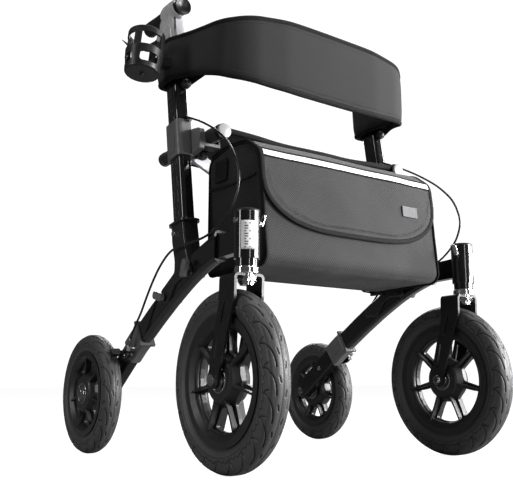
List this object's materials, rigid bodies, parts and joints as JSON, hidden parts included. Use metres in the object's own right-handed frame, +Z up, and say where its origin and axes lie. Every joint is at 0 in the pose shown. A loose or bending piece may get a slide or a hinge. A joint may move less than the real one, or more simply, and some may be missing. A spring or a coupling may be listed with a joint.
{
  "type": "rollator walker",
  "caption": "Folding wheeled walker with castor forks, braked rear wheels, sling seat, storage bag, back band, height-set handles and a cup holder.",
  "frame": {"origin": "the floor, on the middle plane, below the line of the two front axles", "axes": "+Z up, -Y is the direction of travel, +X towards the right side as the bag is seen from the front"},
  "size_m": [0.7414, 0.7545, 0.9346],
  "materials": {
    "tyre": "matte grooved tread",
    "rim": "satin moulded",
    "bearing_steel": "ground",
    "fork_black": "satin powder coat",
    "chrome_hardware": "polished",
    "frame_black": "gloss",
    "trim_black": "matte",
    "rear_leg_black": "satin",
    "grey_plastic": "fine texture",
    "bracket_grey": "satin powder coat",
    "knob_grey": "matte",
    "stem_aluminium": "satin anodised",
    "silver_plastic": "silver lacquer",
    "grip_rubber": "matte",
    "lever_black": "satin",
    "cable_black": "satin sheath",
    "brace_silver": "satin",
    "seat_fabric": "woven",
    "bag_fabric": "woven with bound edges",
    "band_fabric": "woven with bound edges",
    "cup_plastic": "matte"
  },
  "bodies": {
    "side_left": {"head_tube_left": "frame_black", "leg_tube_left": "frame_black", "leg_trim_left": "trim_black", "post_bracket_left": "bracket_grey", "post_tube_left": "frame_black", "rail_holder_left": "grey_plastic", "rear_sleeve_left": "grey_plastic", "rear_leg_left": "rear_leg_black", "pivot_bracket_left": "bracket_grey", "side_bolts_left": "chrome_hardware", "wing_knobs_left": "knob_grey", "brake_cable_left": "cable_black", "cup_holder": "cup_plastic", "bag": "bag_fabric", "backrest": "band_fabric"},
    "side_right": {"head_tube_right": "frame_black", "leg_tube_right": "frame_black", "leg_trim_right": "trim_black", "post_bracket_right": "bracket_grey", "post_tube_right": "frame_black", "rail_holder_right": "grey_plastic", "rear_sleeve_right": "grey_plastic", "rear_leg_right": "rear_leg_black", "pivot_bracket_right": "bracket_grey", "side_bolts_right": "chrome_hardware", "wing_knobs_right": "knob_grey", "brake_cable_right": "cable_black"},
    "brace_a": {"brace_arm_a": "brace_silver"},
    "brace_b": {"brace_arm_b": "brace_silver"},
    "rail_left": {"seat_rail_left": "frame_black", "seat": "seat_fabric"},
    "fork_left": {"fork_left": "fork_black", "fork_hardware_left": "chrome_hardware"},
    "front_wheel_left": {"front_tyre_left": "tyre", "front_rim_left": "rim", "front_bearings_left": "bearing_steel"},
    "rear_wheel_left": {"rear_tyre_left": "tyre", "rear_rim_left": "rim", "rear_bearings_left": "bearing_steel"},
    "handle_left": {"handle_stem_left": "stem_aluminium", "handle_shell_left": "silver_plastic", "grip_left": "grip_rubber"},
    "lever_left": {"brake_lever_left": "lever_black"},
    "brake_left": {"brake_arm_left": "lever_black"},
    "knob_left": {"clamp_knob_left": "trim_black"},
    "rail_right": {"seat_rail_right": "frame_black"},
    "fork_right": {"fork_right": "fork_black", "fork_hardware_right": "chrome_hardware"},
    "front_wheel_right": {"front_tyre_right": "tyre", "front_rim_right": "rim", "front_bearings_right": "bearing_steel"},
    "rear_wheel_right": {"rear_tyre_right": "tyre", "rear_rim_right": "rim", "rear_bearings_right": "bearing_steel"},
    "handle_right": {"handle_stem_right": "stem_aluminium", "handle_shell_right": "silver_plastic", "grip_right": "grip_rubber"},
    "lever_right": {"brake_lever_right": "lever_black"},
    "brake_right": {"brake_arm_right": "lever_black"},
    "knob_right": {"clamp_knob_right": "trim_black"}
  },
  "joints": [
    {"name": "fold", "type": "hinge", "parent": "side_left", "child": "brace_a", "pos_m": [-0.234, 0.176, 0.365], "axis": [0, -1, 0], "range_deg": [0, 52], "deforming": ["seat", "bag", "backrest"]},
    {"name": "brace_cross", "type": "hinge", "parent": "brace_a", "child": "brace_b", "pos_m": [0, 0.191, 0.479], "axis": [0, -1, 0], "range_deg": [-105, 1]},
    {"name": "side_right_pivot", "type": "hinge", "parent": "brace_b", "child": "side_right", "pos_m": [0.234, 0.191, 0.365], "axis": [0, -1, 0], "range_deg": [-1, 53]},
    {"name": "rail_left_pivot", "type": "hinge", "parent": "brace_b", "child": "rail_left", "pos_m": [-0.234, 0.191, 0.593], "axis": [0, -1, 0], "range_deg": [-1, 53]},
    {"name": "rail_right_pivot", "type": "hinge", "parent": "brace_a", "child": "rail_right", "pos_m": [0.234, 0.176, 0.593], "axis": [0, -1, 0], "range_deg": [-53, 1]},
    {"name": "castor_left", "type": "hinge", "parent": "side_left", "child": "fork_left", "pos_m": [-0.274, -0.052, 0.38], "axis": [0, 0, 1], "continuous": true},
    {"name": "front_wheel_left", "type": "hinge", "parent": "fork_left", "child": "front_wheel_left", "pos_m": [-0.274, 0, 0.1525], "axis": [1, 0, 0], "continuous": true},
    {"name": "rear_wheel_left", "type": "hinge", "parent": "side_left", "child": "rear_wheel_left", "pos_m": [-0.315, 0.478, 0.124], "axis": [1, 0, 0], "continuous": true},
    {"name": "handle_height_left", "type": "slide", "parent": "side_left", "child": "handle_left", "axis": [0, 0.153, 0.9882], "range_m": [0, 0.12]},
    {"name": "brake_lever_left", "type": "hinge", "parent": "handle_left", "child": "lever_left", "pos_m": [-0.274, 0.271, 0.872], "axis": [1, 0, 0], "range_deg": [0, 12], "stiffness_Nm_per_rad": 2, "springref_deg": -4.58},
    {"name": "brake_arm_left", "type": "hinge", "parent": "side_left", "child": "brake_left", "pos_m": [-0.295, 0.354, 0.2], "axis": [1, 0, 0], "range_deg": [-2.6, 0.2]},
    {"name": "clamp_knob_left", "type": "hinge", "parent": "side_left", "child": "knob_left", "pos_m": [-0.27, 0.18371, 0.73402], "axis": [0, -0.9882, 0.153], "continuous": true},
    {"name": "castor_right", "type": "hinge", "parent": "side_right", "child": "fork_right", "pos_m": [0.274, -0.052, 0.38], "axis": [0, 0, 1], "continuous": true},
    {"name": "front_wheel_right", "type": "hinge", "parent": "fork_right", "child": "front_wheel_right", "pos_m": [0.274, 0, 0.1525], "axis": [1, 0, 0], "continuous": true},
    {"name": "rear_wheel_right", "type": "hinge", "parent": "side_right", "child": "rear_wheel_right", "pos_m": [0.315, 0.478, 0.124], "axis": [1, 0, 0], "continuous": true},
    {"name": "handle_height_right", "type": "slide", "parent": "side_right", "child": "handle_right", "axis": [0, 0.153, 0.9882], "range_m": [0, 0.12]},
    {"name": "brake_lever_right", "type": "hinge", "parent": "handle_right", "child": "lever_right", "pos_m": [0.274, 0.271, 0.872], "axis": [1, 0, 0], "range_deg": [0, 12], "stiffness_Nm_per_rad": 2, "springref_deg": -4.58},
    {"name": "brake_arm_right", "type": "hinge", "parent": "side_right", "child": "brake_right", "pos_m": [0.295, 0.354, 0.2], "axis": [1, 0, 0], "range_deg": [-2.6, 0.2]},
    {"name": "clamp_knob_right", "type": "hinge", "parent": "side_right", "child": "knob_right", "pos_m": [0.27, 0.18371, 0.73402], "axis": [0, -0.9882, 0.153], "continuous": true}
  ],
  "couplings": [
    {"joint": "brace_cross", "follows": "fold", "ratio": -2},
    {"joint": "side_right_pivot", "follows": "fold", "ratio": 1},
    {"joint": "rail_left_pivot", "follows": "fold", "ratio": 1},
    {"joint": "rail_right_pivot", "follows": "fold", "ratio": -1},
    {"joint": "brake_arm_left", "follows": "brake_lever_left", "ratio": -0.2},
    {"joint": "brake_arm_right", "follows": "brake_lever_right", "ratio": -0.2}
  ]
}
